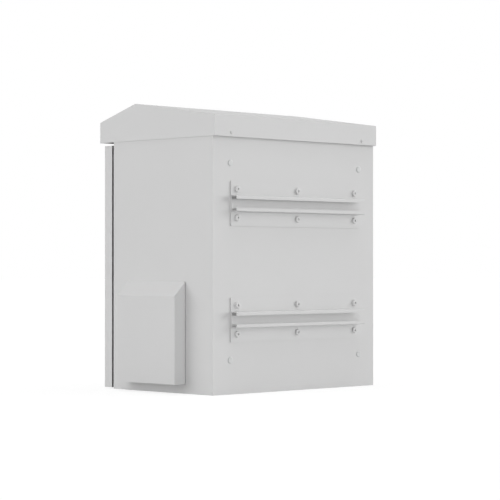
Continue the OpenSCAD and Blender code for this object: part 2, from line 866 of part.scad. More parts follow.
// Flat plate of a pole bracket with six screw holes
module bracket_plate(z) {
    color(paint) difference() {
        translate([0, bracket_t / 2, z]) along_y(bracket_t)
            rounded_rect([bracket_w, bracket_h], bracket_corner);
        at_bracket_screws(z) facing_back() screw_hole(bracket_screw_d, through);
    }
}
module bracket_plate_lower() { bracket_plate(bracket_centres[0]); }
module bracket_plate_upper() { bracket_plate(bracket_centres[1]); }

// Slotted C rail on a bracket plate, open at its ends
module slot_rail(z) {
    inner_r = slot_rail_r - slot_rail_t;
    color(paint) translate([0, bracket_t + slot_rail_d / 2, z]) along_x(bracket_w) difference() {
        rounded_rect([slot_rail_d, slot_rail_h], slot_rail_r);
        rounded_rect([slot_rail_d - 2 * slot_rail_t, slot_rail_h - 2 * slot_rail_t], inner_r);
        translate([0, -slot_w / 2]) square([slot_rail_d, slot_w]);
    }
}
module slot_rail_lower() { slot_rail(bracket_centres[0]); }
module slot_rail_upper() { slot_rail(bracket_centres[1]); }

module bracket_screws(z) {
    length = bracket_t + sheet_t + bracket_nut_h + thread_out;
    color(paint) translate([0, bracket_t, 0]) at_bracket_screws(z) facing_back()
        pan_screw(bracket_screw_d, length, bracket_head_d, bracket_head_h, bracket_recess_d);
}
module bracket_screws_lower() { bracket_screws(bracket_centres[0]); }
module bracket_screws_upper() { bracket_screws(bracket_centres[1]); }

module bracket_nuts() {
    color(zinc) for (z = bracket_centres) translate([0, -sheet_t, 0]) at_bracket_screws(z) facing_front()
        hex_nut(bracket_screw_d, bracket_nut_w, bracket_nut_h);
}

// Low round caps that close the wall fixing holes
module wall_plugs() {
    color(grey_plastic) at_wall_plugs() facing_back() {
        cylinder(d = plug_cap_d, h = plug_cap_h - plug_bevel);
        translate([0, 0, plug_cap_h - plug_bevel])
            cylinder(d1 = plug_cap_d, d2 = plug_cap_d - 2 * plug_slope, h = plug_bevel);
        translate([0, 0, -plug_shank_l])
            cylinder(d = plug_hole_d - 2 * hole_gap, h = plug_shank_l + plug_cap_h / 2);
    }
}

module entry_outline(border) {
    rounded_rect([entry_w + 2 * border, entry_d + 2 * border], entry_border / 2);
}

module entry_plate() {
    color(zinc) difference() {
        translate([0, entry_y, entry_plate_z]) linear_extrude(entry_plate_t) entry_outline(entry_border);
        at_entry_screws() translate([0, 0, entry_plate_z]) screw_hole(entry_screw_d, through);
        at_grommets() translate([0, 0, entry_plate_z])
            cylinder(d = grommet_hole_d, h = through, center = true);
    }
}

module entry_seal() {
    color(black) difference() {
        translate([0, entry_y, sheet_t]) linear_extrude(entry_seal_t) difference() {
            entry_outline(entry_border);
            square([entry_w, entry_d], center = true);
        }
        at_entry_screws() translate([0, 0, sheet_t]) screw_hole(entry_screw_d, through);
    }
}

module entry_screws() {
    color(zinc) at_entry_screws() translate([0, 0, entry_plate_z + entry_plate_t])
        pan_screw(entry_screw_d, entry_plate_z + entry_plate_t - hole_gap, entry_head_d, entry_head_h,
                  entry_screw_d / 2);
}

// Rubber grommets with a thin membrane to pierce, clipped over the rim of each hole
module cable_grommets() {
    rim_r = grommet_hole_d / 2 + grommet_lip;
    neck_r = grommet_hole_d / 2 - hole_gap;
    color(black) at_grommets() translate([0, 0, entry_plate_z]) rotate_extrude() polygon([
        [0, 0], [neck_r - grommet_wall, 0], [neck_r - grommet_wall, -grommet_flange],
        [rim_r - grommet_lip / 2, -grommet_flange], [rim_r - grommet_lip / 2, 0], [neck_r, 0],
        [neck_r, entry_plate_t], [rim_r, entry_plate_t],
        [rim_r - grommet_flange, entry_plate_t + grommet_flange],
        [neck_r - grommet_wall, entry_plate_t + grommet_flange],
        [neck_r - 2 * grommet_wall, grommet_flange], [0, grommet_flange]]);
}

// Brass stud on the floor with a hexagon foot for the ring lug of the earth lead
module earth_stud() {
    color(brass) translate([side_x - earth_inset, entry_y, sheet_t]) {
        cylinder(d = earth_foot_w / cos(30), h = earth_foot_h, $fn = 6);
        cylinder(d = earth_d, h = earth_l);
    }
}

// Body half of a hinge: a leg on the sealing lip and an arm to the middle knuckle
module hinge_bracket(z) {
    color(zinc) translate([0, 0, z]) difference() {
        union() {
            block([-lip_x - hinge_t, lip_y + cut, -hinge_leg_h / 2], [-lip_x, front_y, hinge_leg_h / 2]);
            block([hinge_x, hinge_y - hinge_arm_t / 2, -knuckle_h / 2],
                  [-lip_x - hinge_t / 2, hinge_y + hinge_arm_t / 2, knuckle_h / 2]);
            translate([hinge_x, hinge_y, 0]) cylinder(d = knuckle_d, h = knuckle_h, center = true);
        }
        translate([hinge_x, hinge_y, 0])
            cylinder(d = hinge_pin_d + 2 * running_gap, h = knuckle_h + 2 * cut, center = true);
    }
}
module hinge_bracket_lower() { hinge_bracket(hinge_z[0]); }
module hinge_bracket_upper() { hinge_bracket(hinge_z[1]); }

// Door half of a hinge: a plate on the inside of the door with a knuckle above and below the middle one
module hinge_knuckles(z) {
    plate_x0 = -door_x + sheet_t + hinge_end_gap;
    knuckle_z = knuckle_h / 2 + hinge_end_gap;
    color(zinc) translate([0, 0, z]) difference() {
        union() {
            block([plate_x0, door_back_y, -hinge_plate_h / 2],
                  [plate_x0 + hinge_plate_w, door_back_y + hinge_t, hinge_plate_h / 2]);
            for (end = [0, 1]) mirror([0, 0, end]) {
                block([hinge_x - knuckle_d / 2, door_back_y, knuckle_z],
                      [hinge_x + knuckle_d / 2, hinge_y, knuckle_z + knuckle_end_h]);
                translate([hinge_x, hinge_y, knuckle_z]) cylinder(d = knuckle_d, h = knuckle_end_h);
            }
        }
        translate([hinge_x, hinge_y, 0])
            cylinder(d = hinge_pin_d + 2 * running_gap, h = hinge_plate_h, center = true);
    }
}
module hinge_knuckles_lower() { hinge_knuckles(hinge_z[0]); }
module hinge_knuckles_upper() { hinge_knuckles(hinge_z[1]); }

module hinge_pin(z) {
    half = knuckle_h / 2 + hinge_end_gap + knuckle_end_h + seat_gap;
    color(zinc) translate([hinge_x, hinge_y, z]) {
        translate([0, 0, -half]) cylinder(d = hinge_pin_d, h = 2 * half);
        translate([0, 0, half]) cylinder(d = pin_head_d, h = pin_head_h);
    }
}
module hinge_pin_lower() { hinge_pin(hinge_z[0]); }
module hinge_pin_upper() { hinge_pin(hinge_z[1]); }

// Door pan: a flat face with its four edges folded back
module door_panel() {
    color(paint) difference() {
        block([-door_x, door_face_y, door_bottom], [door_x, door_rim_y, door_top]);
        block([-door_x + sheet_t, door_back_y, door_bottom + sheet_t],
              [door_x - sheet_t, door_rim_y + cut, door_top - sheet_t]);
        for (z = lock_z) at_lock(z) screw_hole(lock_barrel_d, through);
    }
}

// Foam seal on the door that meets the edge of the sealing lip
module door_seal() {
    middle = sheet_t / 2;
    outer = seal_w / 2 - middle;
    inner = seal_w / 2 + middle;
    color(black) difference() {
        block([-lip_x - outer, door_back_y, lip_z0 - outer],
              [lip_x + outer, door_back_y + seal_t, lip_z1 + outer]);
        block([-lip_x + inner, door_back_y - cut, lip_z0 + inner],
              [lip_x - inner, door_back_y + seal_t + cut, lip_z1 - inner]);
    }
}

// Two upright hat-shaped profiles welded to the inside of the door
module door_stiffeners() {
    z0 = open_z0 + seal_w;
    z1 = open_z1 - seal_w;
    color(paint) for (x = [-1, 1]) translate([x * stiffener_x, door_back_y, z0]) linear_extrude(z1 - z0) {
        difference() {
            translate([-stiffener_w / 2, 0]) square([stiffener_w, stiffener_d]);
            translate([-stiffener_w / 2 + sheet_t, -cut])
                square([stiffener_w - 2 * sheet_t, stiffener_d - sheet_t + cut]);
        }
        for (side = [-1, 1])
            translate([side * (stiffener_w + stiffener_brim - sheet_t) / 2, sheet_t / 2])
                square([stiffener_brim + sheet_t, sheet_t], center = true);
    }
}

// Lock barrel through the door with a round flange outside
module lock_housing(z) {
    bevel = lock_flange_h / 3;
    color(zinc) at_lock(z) difference() {
        union() {
            cylinder(d = lock_flange_d, h = lock_flange_h - bevel);
            translate([0, 0, lock_flange_h - bevel])
                cylinder(d1 = lock_flange_d, d2 = lock_flange_d - 2 * bevel, h = bevel);
            translate([0, 0, -lock_barrel_l]) cylinder(d = lock_barrel_d, h = lock_barrel_l + bevel);
        }
        translate([0, 0, -lock_barrel_l - cut])
            cylinder(d = spindle_d + 2 * running_gap, h = lock_barrel_l + lock_flange_h + 2 * cut);
    }
}
module lock_housing_lower() { lock_housing(lock_z[0]); }
module lock_housing_upper() { lock_housing(lock_z[1]); }

module lock_nuts() {
    color(zinc) for (z = lock_z) at_lock(z) translate([0, 0, -sheet_t - lock_nut_h])
        hex_nut(lock_barrel_d, lock_nut_w, lock_nut_h);
}

// Turning spindle with a three-sided key socket, a collar behind the barrel and a square for the cam
module lock_spindle(z) {
    cam_front = door_face_y - cam_y;
    collar_z = -lock_barrel_l - seat_gap;
    color(zinc) at_lock(z) difference() {
        union() {
            translate([0, 0, cam_front])
                cylinder(d = spindle_d, h = lock_flange_h - spindle_sink - cam_front);
            translate([0, 0, collar_z - collar_h]) cylinder(d = collar_d, h = collar_h);
            translate([0, 0, cam_front - (cam_t + cam_square_gap) / 2])
                cube([cam_square, cam_square, cam_t + cam_square_gap + cut], center = true);
            translate([0, 0, cam_front - cam_t - cam_square_gap - spindle_cap_h])
                cylinder(d = spindle_cap_d, h = spindle_cap_h);
        }
        translate([0, 0, lock_flange_h - spindle_sink - lock_key_depth])
            cylinder(d = lock_key_d, h = lock_key_depth + cut, $fn = 3);
    }
}
module lock_spindle_lower() { lock_spindle(lock_z[0]); }
module lock_spindle_upper() { lock_spindle(lock_z[1]); }

// Cam that hangs down at rest and turns sideways behind the front flange
module lock_cam(z) {
    hole = cam_square + 2 * cam_square_gap;
    color(zinc) translate([lock_x, cam_y + cam_t / 2, z]) along_y(cam_t) difference() {
        union() {
            translate([-cam_w / 2, -cam_l + cam_w / 2]) square([cam_w, cam_l - cam_w / 2]);
            translate([0, -cam_l + cam_w / 2]) circle(d = cam_w);
            circle(d = cam_w);
        }
        square(hole, center = true);
    }
}
module lock_cam_lower() { lock_cam(lock_z[0]); }
module lock_cam_upper() { lock_cam(lock_z[1]); }

// Moves the drawing frame, with the back wall at Y = 0, to the middle of the whole cabinet
module centred() {
    translate([0, -middle_y, 0]) children();
}

centred() wall_left();
centred() wall_right();
centred() back_panel();
centred() base_panel();
centred() top_panel();
centred() front_frame();
centred() roof_cover();
centred() roof_support(-1);  // roof_support_left
centred() roof_support(1);  // roof_support_right
centred() roof_straps();
centred() roof_spacers();
centred() roof_screws();
centred() roof_nuts();
centred() intake_hood();
centred() exhaust_hood();
centred() hood_screws();
centred() filter_frame();
centred() filter_mat();
centred() fan_frame();
centred() fan_guard();
centred() fan_screws();
centred() fan_rotor();
centred() rack_rail_left();
centred() rack_rail_right();
centred() carrier_lower_left();
centred() carrier_lower_right();
centred() carrier_upper_left();
centred() carrier_upper_right();
centred() rail_screws();
centred() rail_nuts();
centred() bracket_plate_lower();
centred() bracket_plate_upper();
centred() slot_rail_lower();
centred() slot_rail_upper();
centred() bracket_screws_lower();
centred() bracket_screws_upper();
centred() bracket_nuts();
centred() wall_plugs();
centred() entry_plate();
centred() entry_seal();
centred() entry_screws();
centred() cable_grommets();
centred() earth_stud();
centred() hinge_bracket_lower();
centred() hinge_bracket_upper();
centred() hinge_pin_lower();
centred() hinge_pin_upper();
centred() door_panel();
centred() door_seal();
centred() door_stiffeners();
centred() hinge_knuckles_lower();
centred() hinge_knuckles_upper();
centred() lock_housing_lower();
centred() lock_housing_upper();
centred() lock_nuts();
centred() lock_spindle_lower();
centred() lock_spindle_upper();
centred() lock_cam_lower();
centred() lock_cam_upper();
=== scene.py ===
"""Finishes, soft parts and a plain stage for an outdoor rack cabinet of folded sheet steel."""

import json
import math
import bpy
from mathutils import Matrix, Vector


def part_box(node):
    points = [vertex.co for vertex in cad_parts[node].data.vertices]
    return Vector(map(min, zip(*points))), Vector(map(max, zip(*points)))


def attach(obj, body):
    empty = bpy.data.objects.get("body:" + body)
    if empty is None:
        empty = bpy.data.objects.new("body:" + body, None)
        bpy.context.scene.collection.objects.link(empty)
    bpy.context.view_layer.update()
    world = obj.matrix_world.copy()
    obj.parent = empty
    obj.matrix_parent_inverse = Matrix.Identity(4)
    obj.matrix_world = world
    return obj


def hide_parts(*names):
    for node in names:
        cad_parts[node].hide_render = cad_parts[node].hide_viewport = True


bl_info = {
    "name": "Outdoor rack cabinet",
    "version": (1, 0, 0),
    "blender": (4, 5, 0),
    "location": "View3D > Sidebar > Cabinet",
    "description": "Gives the packed cabinet its finishes, soft parts and stage",
    "category": "Object",
}

import bpy
from bpy.props import FloatProperty, FloatVectorProperty, PointerProperty
from mathutils import Vector

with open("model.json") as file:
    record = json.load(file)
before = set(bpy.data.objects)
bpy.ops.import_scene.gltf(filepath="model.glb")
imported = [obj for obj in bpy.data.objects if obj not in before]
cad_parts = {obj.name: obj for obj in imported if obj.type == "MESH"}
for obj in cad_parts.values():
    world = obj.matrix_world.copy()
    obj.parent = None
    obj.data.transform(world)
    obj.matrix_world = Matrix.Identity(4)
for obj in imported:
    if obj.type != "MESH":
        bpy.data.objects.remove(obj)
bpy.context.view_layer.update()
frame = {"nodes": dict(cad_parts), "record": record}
MM = 0.001

# Soft parts. Points closer together than NEAR count as level.
NEAR = 0.05 * MM
SMOOTH_ANGLE = math.radians(40)
CORNER_SEGMENTS = 4
CROWN_SEGMENTS = 5
MAT_CUTS = 27
MAT_EDGE_SEGMENTS = 3
MAT_EDGE_ANGLE = math.radians(60)

# Stage. NARROW, MEDIUM and BROAD are how wide a lamp looks from the cabinet.
FLOOR_SIZE = 60.0
FLOOR_DROP = 0.2 * MM
SENSOR_WIDTH = 36.0
WALL_LAMP_RISE = 0.035
NARROW = math.radians(5)
MEDIUM = math.radians(36)
BROAD = math.radians(50)

SLOT_NODES = {}
for part in frame["record"]["subparts"]:
    SLOT_NODES.setdefault(part["material_slot"], []).append(part["node"])


def linear(hex_code):
    """Linear RGBA of an sRGB hex colour."""
    channels = [int(hex_code[i : i + 2], 16) / 255 for i in (1, 3, 5)]
    return [c / 12.92 if c <= 0.04045 else ((c + 0.055) / 1.055) ** 2.4 for c in channels] + [1.0]


def colour(name, description, hex_code):
    """A colour property whose default is an sRGB hex colour."""
    return FloatVectorProperty(
        name=name, description=description, subtype="COLOR", size=4, min=0.0, max=1.0,
        default=linear(hex_code),
    )


def length(name, description, millimetres):
    """A length property whose default is given in millimetres."""
    return FloatProperty(
        name=name, description=description, subtype="DISTANCE", unit="LENGTH", min=0.0,
        default=millimetres * MM,
    )


def strength(name, description, level):
    """A property for the strength of a light."""
    return FloatProperty(name=name, description=description, min=0.0, default=level)


class CabinetFinishes(bpy.types.PropertyGroup):
    paint: colour("Paint", "Powder coat of the sheets, back rails, roof screws and bracket screws", "#cfcfcf")
    zinc: colour("Zinc sheet", "Rack, roof supports, entry plate and hinges, but not their pins", "#b9bdbf")
    plated: colour("Plated steel", "Other screws, nuts, spacers, hinge pins, cams and fan guard", "#c3c5c4")
    lock: colour("Lock metal", "Die-cast housings, nuts and spindles of the locks", "#b0b4b7")
    black_plastic: colour("Black plastic", "Fan frame, fan rotor and filter frame", "#232426")
    grey_plastic: colour("Grey plastic", "Plugs of the wall fixing holes", "#c1c2c2")
    fleece: colour("Filter fleece", "Fibres of the filter mat", "#dfe0da")
    foam: colour("Foam", "Skin of the foam seals", "#2b2c2e")
    rubber: colour("Rubber", "Cable grommets", "#1e1f20")
    brass: colour("Brass", "Earth stud", "#c9a95e")
    peel: length("Peel of the paint", "Width of the waves on the powder coat", 2.4)
    drift: length("Drift of the paint", "Width of the slow changes of tone on the powder coat", 160.0)
    spangle: length("Zinc spangle", "Width of the crystals on galvanised sheet", 9.0)
    frost: length("Zinc frost", "Width of the fine grain on galvanised sheet", 1.2)
    cloud: length("Plating cloud", "Width of the cloudy patches on plated steel", 5.0)
    casting: length("Casting grain", "Width of the grain on the locks", 0.9)
    grit: length("Moulded grit", "Width of the grain on moulded plastic", 1.1)
    flow: length("Moulded flow", "Width of the slow changes of tone on moulded plastic", 35.0)
    bloom: length("Rubber bloom", "Width of the grey patches on the grommets", 14.0)
    rings: length("Tool rings", "Length of about three rings on the brass stud", 4.0)
    fibre: length("Fleece fibre", "Spacing of the bundles of fibres on the filter mat", 1.6)
    pore: length("Foam pore", "Width of the pores on the foam's skin", 1.4)
    swell: length("Foam swell", "Width of the slow changes of gloss on the foam's skin", 18.0)


class CabinetSoftParts(bpy.types.PropertyGroup):
    door_seal_width: length("Door seal width", "Width of the foam bead on the door", 14.0)
    door_seal_crown: length("Door seal crown", "How far the bead's upper edges are rounded", 5.5)
    door_seal_corner: length("Door seal corner", "How far the bead's corners are rounded", 6.0)
    entry_seal_width: length("Entry seal width", "Width of the seal under the entry plate", 22.0)
    entry_seal_crown: length("Entry seal crown", "How far the entry seal's pressed edges are rounded", 1.0)
    entry_seal_corner: length("Entry seal corner", "How far the entry seal's corners are rounded", 8.0)
    mat_loft: length("Mat loft", "How far the filter mat's surface rises and falls", 1.4)
    mat_tuft: length("Mat tuft", "Width of the tufts on the filter mat's surface", 24.0)
    mat_edge: length("Mat edge", "How far the filter mat's edges are rounded", 2.5)


class CabinetStage(bpy.types.PropertyGroup):
    camera_place: FloatVectorProperty(
        name="Camera", description="Place of the camera", subtype="TRANSLATION", unit="LENGTH",
        default=(3.5990, 3.6635, 0.3263),
    )
    camera_turn: FloatVectorProperty(
        name="Camera turn", description="Tilt, roll and heading of the camera", subtype="EULER",
        unit="ROTATION", default=(math.radians(90.438), 0.0, math.radians(135.25)),
    )
    lens: FloatProperty(
        name="Lens", description="Focal length of the camera", unit="CAMERA", min=1.0, default=138.12
    )
    sky: strength("Sky", "Strength of the even light from all round", 0.20)
    overhead: strength("Overhead", "Strength of the lamp overhead", 1.56)
    sides: strength("Sides", "Strength of the two lamps square to the side walls", 0.73)
    back: strength("Back", "Strength of the lamp square to the back", 0.91)
    front: strength("Front", "Strength of the lamp square to the door", 1.08)
    cross: strength("Cross", "Strength of the two soft lamps at opposite corners", 1.95)
    lift: FloatProperty(
        name="Lift", description="Light that the floor is seen to give off, so that it looks white",
        min=0.0, max=1.0, default=0.82,
    )
    shadow: FloatProperty(
        name="Shadow", description="Share of the shadow on the floor that is seen", subtype="FACTOR",
        min=0.0, max=1.0, default=0.35,
    )
    floor: colour("Floor", "Plain pale floor", "#cccccc")


def add(tree, kind, inputs=(), **settings):
    """Adds a shader node; inputs pairs its sockets with a value or with another node's output."""
    made = tree.nodes.new("ShaderNode" + kind)
    for name, value in settings.items():
        setattr(made, name, value)
    for socket, value in dict(inputs).items():
        if isinstance(value, bpy.types.NodeSocket):
            tree.links.new(value, made.inputs[socket])
        else:
            made.inputs[socket].default_value = value
    return made


def blank(name):
    """A material with an empty node tree."""
    material = bpy.data.materials.new(name)
    material.use_nodes = True
    material.node_tree.nodes.clear()
    return material, material.node_tree


def dress(slot, material):
    """Gives the material to every CAD node of the record's slot."""
    for name in SLOT_NODES[slot]:
        mesh = frame["nodes"][name].data
        mesh.materials.clear()
        mesh.materials.append(material)


def powder_coat(look):
    """Polyester powder coat: an even matt grey with a faint orange peel and slow changes of tone."""
    material, tree = blank("Powder coat")
    place = add(tree, "TexCoord").outputs["Object"]
    peel = add(tree, "TexNoise", {"Vector": place, "Scale": 1 / look.peel, "Detail": 2.0})
    drift = add(tree, "TexNoise", {"Vector": place, "Scale": 1 / look.drift, "Detail": 3.0})
    tone = add(tree, "MapRange", {"Value": drift.outputs["Fac"], "To Min": 0.985, "To Max": 1.015})
    shade = add(tree, "HueSaturation", {"Color": look.paint, "Value": tone.outputs["Result"]})
    gloss = add(tree, "MapRange", {"Value": peel.outputs["Fac"], "To Min": 0.85, "To Max": 0.95})
    wave = add(tree, "Bump", {"Height": peel.outputs["Fac"], "Strength": 0.4, "Distance": 0.12 * MM})
    surface = add(tree, "BsdfPrincipled", {
        "Base Color": shade.outputs["Color"], "Roughness": gloss.outputs["Result"], "IOR": 1.5,
        "Specular IOR Level": 0.10, "Normal": wave.outputs["Normal"],
    })
    add(tree, "OutputMaterial", {"Surface": surface.outputs["BSDF"]})
    return material


def galvanised_sheet(look):
    """Hot-dip galvanised sheet: dull grey zinc whose flat crystals differ a little in tone and gloss."""
    material, tree = blank("Galvanised sheet")
    place = add(tree, "TexCoord").outputs["Object"]
    crystals = add(tree, "TexVoronoi", {"Vector": place, "Scale": 1 / look.spangle, "Randomness": 1.0})
    cell = add(tree, "SeparateColor", {"Color": crystals.outputs["Color"]}).outputs["Red"]
    frost = add(tree, "TexNoise", {"Vector": place, "Scale": 1 / look.frost, "Detail": 3.0})
    tone = add(tree, "MapRange", {"Value": cell, "To Min": 0.86, "To Max": 1.08})
    shade = add(tree, "HueSaturation", {"Color": look.zinc, "Value": tone.outputs["Result"]})
    gloss = add(tree, "MapRange", {"Value": cell, "To Min": 0.34, "To Max": 0.52})
    wave = add(tree, "Bump", {"Height": frost.outputs["Fac"], "Strength": 0.15, "Distance": 0.03 * MM})
    surface = add(tree, "BsdfPrincipled", {
        "Base Color": shade.outputs["Color"], "Metallic": 1.0, "Roughness": gloss.outputs["Result"],
        "Normal": wave.outputs["Normal"],
    })
    add(tree, "OutputMaterial", {"Surface": surface.outputs["BSDF"]})
    return material


def plated_steel(look):
    """Zinc-plated steel: a clean bright metal with a fine cloudy passivation."""
    material, tree = blank("Zinc-plated steel")
    place = add(tree, "TexCoord").outputs["Object"]
    cloud = add(tree, "TexNoise", {"Vector": place, "Scale": 1 / look.cloud, "Detail": 4.0})
    tone = add(tree, "MapRange", {"Value": cloud.outputs["Fac"], "To Min": 0.90, "To Max": 1.08})
    shade = add(tree, "HueSaturation", {"Color": look.plated, "Value": tone.outputs["Result"]})
    gloss = add(tree, "MapRange", {"Value": cloud.outputs["Fac"], "To Min": 0.24, "To Max": 0.40})
    surface = add(tree, "BsdfPrincipled", {
        "Base Color": shade.outputs["Color"], "Metallic": 1.0, "Roughness": gloss.outputs["Result"],
    })
    add(tree, "OutputMaterial", {"Surface": surface.outputs["BSDF"]})
    return material


def satin_casting(look):
    """Die-cast zinc with a satin plating: smooth, soft reflections and a faint casting grain."""
    material, tree = blank("Satin-plated zinc casting")
    place = add(tree, "TexCoord").outputs["Object"]
    grain = add(tree, "TexNoise", {"Vector": place, "Scale": 1 / look.casting, "Detail": 3.0})
    tone = add(tree, "MapRange", {"Value": grain.outputs["Fac"], "To Min": 0.95, "To Max": 1.04})
    shade = add(tree, "HueSaturation", {"Color": look.lock, "Value": tone.outputs["Result"]})
    gloss = add(tree, "MapRange", {"Value": grain.outputs["Fac"], "To Min": 0.30, "To Max": 0.42})
    wave = add(tree, "Bump", {"Height": grain.outputs["Fac"], "Strength": 0.12, "Distance": 0.03 * MM})
    surface = add(tree, "BsdfPrincipled", {
        "Base Color": shade.outputs["Color"], "Metallic": 1.0, "Roughness": gloss.outputs["Result"],
        "Normal": wave.outputs["Normal"],
    })
    add(tree, "OutputMaterial", {"Surface": surface.outputs["BSDF"]})
    return material


def moulded_plastic(name, tint, look):
    """Injection-moulded plastic: a matt skin with the fine grit of a spark-eroded mould."""
    material, tree = blank(name)
    place = add(tree, "TexCoord").outputs["Object"]
    grain = add(tree, "TexNoise", {"Vector": place, "Scale": 1 / look.grit, "Detail": 3.0, "Roughness": 0.6})
    flow = add(tree, "TexNoise", {"Vector": place, "Scale": 1 / look.flow, "Detail": 2.0})
    tone = add(tree, "MapRange", {"Value": flow.outputs["Fac"], "To Min": 0.93, "To Max": 1.07})
    shade = add(tree, "HueSaturation", {"Color": tint, "Value": tone.outputs["Result"]})
    gloss = add(tree, "MapRange", {"Value": grain.outputs["Fac"], "To Min": 0.46, "To Max": 0.62})
    wave = add(tree, "Bump", {"Height": grain.outputs["Fac"], "Strength": 0.35, "Distance": 0.06 * MM})
    surface = add(tree, "BsdfPrincipled", {
        "Base Color": shade.outputs["Color"], "Roughness": gloss.outputs["Result"], "IOR": 1.52,
        "Normal": wave.outputs["Normal"],
    })
    add(tree, "OutputMaterial", {"Surface": surface.outputs["BSDF"]})
    return material


def moulded_rubber(look):
    """Moulded EPDM rubber: near black and dull, with a faint grey bloom in patches."""
    material, tree = blank("Moulded EPDM rubber")
    place = add(tree, "TexCoord").outputs["Object"]
    bloom = add(tree, "TexNoise", {"Vector": place, "Scale": 1 / look.bloom, "Detail": 4.0})
    tone = add(tree, "MapRange", {"Value": bloom.outputs["Fac"], "To Min": 0.80, "To Max": 1.35})
    shade = add(tree, "HueSaturation", {"Color": look.rubber, "Value": tone.outputs["Result"]})
    gloss = add(tree, "MapRange", {"Value": bloom.outputs["Fac"], "To Min": 0.62, "To Max": 0.80})
    surface = add(tree, "BsdfPrincipled", {
        "Base Color": shade.outputs["Color"], "Roughness": gloss.outputs["Result"], "IOR": 1.5,
    })
    add(tree, "OutputMaterial", {"Surface": surface.outputs["BSDF"]})
    return material


def turned_brass(look):
    """Turned brass: a warm metal with fine rings left by the tool."""
    material, tree = blank("Turned brass")
    place = add(tree, "TexCoord").outputs["Object"]
    rings = add(tree, "TexWave", {"Vector": place, "Scale": 1 / look.rings, "Distortion": 0.4, "Detail": 1.0},
                wave_type="BANDS", bands_direction="Z")
    tone = add(tree, "MapRange", {"Value": rings.outputs["Fac"], "To Min": 0.90, "To Max": 1.05})
    shade = add(tree, "HueSaturation", {"Color": look.brass, "Value": tone.outputs["Result"]})
    gloss = add(tree, "MapRange", {"Value": rings.outputs["Fac"], "To Min": 0.22, "To Max": 0.34})
    surface = add(tree, "BsdfPrincipled", {
        "Base Color": shade.outputs["Color"], "Metallic": 1.0, "Roughness": gloss.outputs["Result"],
    })
    add(tree, "OutputMaterial", {"Surface": surface.outputs["BSDF"]})
    return material


def filter_fleece(look):
    """Bonded polyester fleece: off-white, fully matt, with tangled bundles of fibres and small painted
    shadows between them.
    """
    material, tree = blank("Polyester fleece")
    place = add(tree, "TexCoord").outputs["Object"]
    across = add(tree, "Mapping", {"Vector": place, "Scale": (1.0, 0.18, 1.0)})
    upward = add(tree, "Mapping", {"Vector": place, "Rotation": (0.6, 0.0, 0.0), "Scale": (1.0, 1.0, 0.18)})
    bundle = {"Scale": 1 / look.fibre, "Detail": 5.0, "Roughness": 0.65, "Distortion": 0.8}
    laid = add(tree, "TexNoise", {"Vector": across.outputs["Vector"], **bundle})
    crossed = add(tree, "TexNoise", {"Vector": upward.outputs["Vector"], **bundle})
    tangle = add(tree, "Math", {0: laid.outputs["Fac"], 1: crossed.outputs["Fac"]}, operation="MAXIMUM")
    # The tone is darker where the bundles thin out and the bump sinks: painted shade between the fibres.
    tone = add(tree, "MapRange", {"Value": tangle.outputs["Value"], "From Min": 0.40, "From Max": 0.75,
                                  "To Min": 0.78, "To Max": 1.04})
    shade = add(tree, "HueSaturation", {"Color": look.fleece, "Value": tone.outputs["Result"]})
    loft = add(tree, "Bump", {"Height": tangle.outputs["Value"], "Strength": 0.7, "Distance": 0.6 * MM})
    surface = add(tree, "BsdfPrincipled", {
        "Base Color": shade.outputs["Color"], "Roughness": 0.95, "Sheen Weight": 0.25,
        "Normal": loft.outputs["Normal"],
    })
    add(tree, "OutputMaterial", {"Surface": surface.outputs["BSDF"]})
    return material


def poured_foam(look):
    """Poured polyurethane foam: a dull dark skin with fine open pores, with painted shade in the pores."""
    material, tree = blank("Poured polyurethane foam")
    place = add(tree, "TexCoord").outputs["Object"]
    pores = add(tree, "TexVoronoi", {"Vector": place, "Scale": 1 / look.pore, "Randomness": 1.0})
    swell = add(tree, "TexNoise", {"Vector": place, "Scale": 1 / look.swell, "Detail": 2.0})
    # Darker towards the middle of each pore, where the bump dents the skin: painted shade in the pores.
    tone = add(tree, "MapRange", {"Value": pores.outputs["Distance"], "From Max": 0.6,
                                  "To Min": 0.70, "To Max": 1.10})
    shade = add(tree, "HueSaturation", {"Color": look.foam, "Value": tone.outputs["Result"]})
    gloss = add(tree, "MapRange", {"Value": swell.outputs["Fac"], "To Min": 0.78, "To Max": 0.92})
    skin = add(tree, "Bump", {"Height": pores.outputs["Distance"], "Strength": 0.5, "Distance": 0.25 * MM})
    surface = add(tree, "BsdfPrincipled", {
        "Base Color": shade.outputs["Color"], "Roughness": gloss.outputs["Result"], "IOR": 1.45,
        "Normal": skin.outputs["Normal"],
    })
    add(tree, "OutputMaterial", {"Surface": surface.outputs["BSDF"]})
    return material


def select_edges(piece, test):
    """In edit mode, selects the edges for whose two ends the test holds."""
    bpy.ops.mesh.select_all(action="DESELECT")
    bpy.ops.object.mode_set(mode="OBJECT")
    mesh = piece.data
    for edge in mesh.edges:
        a, b = (mesh.vertices[i].co for i in edge.vertices)
        edge.select = test(a, b)
    bpy.ops.object.mode_set(mode="EDIT")
    bpy.ops.mesh.select_mode(type="EDGE")


def stand_in(piece, node, body, material):
    """Puts a finished soft piece in the place of its CAD node."""
    piece.data.materials.append(material)
    bpy.ops.object.shade_smooth_by_angle(angle=SMOOTH_ANGLE)
    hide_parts(node)
    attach(piece, body)


